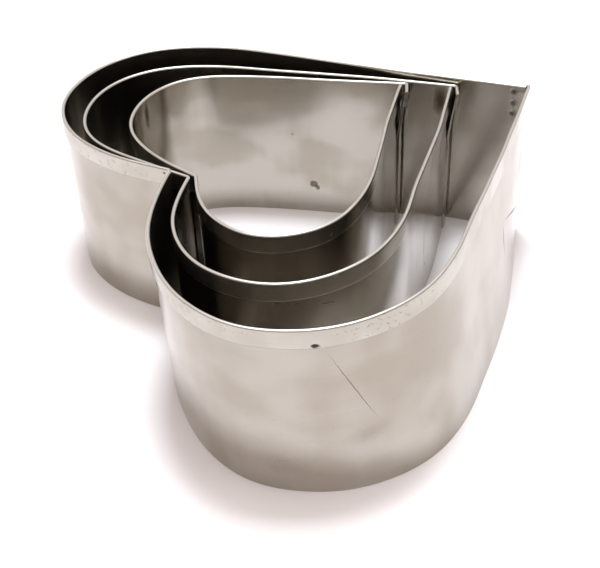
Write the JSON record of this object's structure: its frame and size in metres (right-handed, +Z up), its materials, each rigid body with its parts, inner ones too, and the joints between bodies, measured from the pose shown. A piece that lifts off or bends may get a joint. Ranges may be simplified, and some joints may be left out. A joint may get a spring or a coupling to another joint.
{
  "type": "cookie cutter set",
  "caption": "Nested set of open heart-shaped cookie cutters of steel strip, with hemmed rims, plain cutting edges and lapped, spot-welded tips.",
  "frame": {"origin": "bottom centre of the set's box, on the surface that the cutting edges stand on", "axes": "+X from the cleft of the large heart towards its tip, +Y towards its back lobe, +Z up from the cutting edges to the rims"},
  "size_m": [0.1012, 0.1192, 0.0384],
  "materials": {
    "stainless_strip": "bright rolled stainless strip, lightly worn"
  },
  "bodies": {
    "large": {"large_heart_cutter": "stainless_strip"},
    "medium": {"medium_heart_cutter": "stainless_strip"},
    "small": {"small_heart_cutter": "stainless_strip"}
  },
  "joints": [
    {"name": "medium_lift", "type": "slide", "parent": "large", "child": "medium", "axis": [0, 0, 1], "range_m": [0, 0.045]},
    {"name": "small_lift", "type": "slide", "parent": "large", "child": "small", "axis": [0, 0, 1], "range_m": [0, 0.045]}
  ]
}
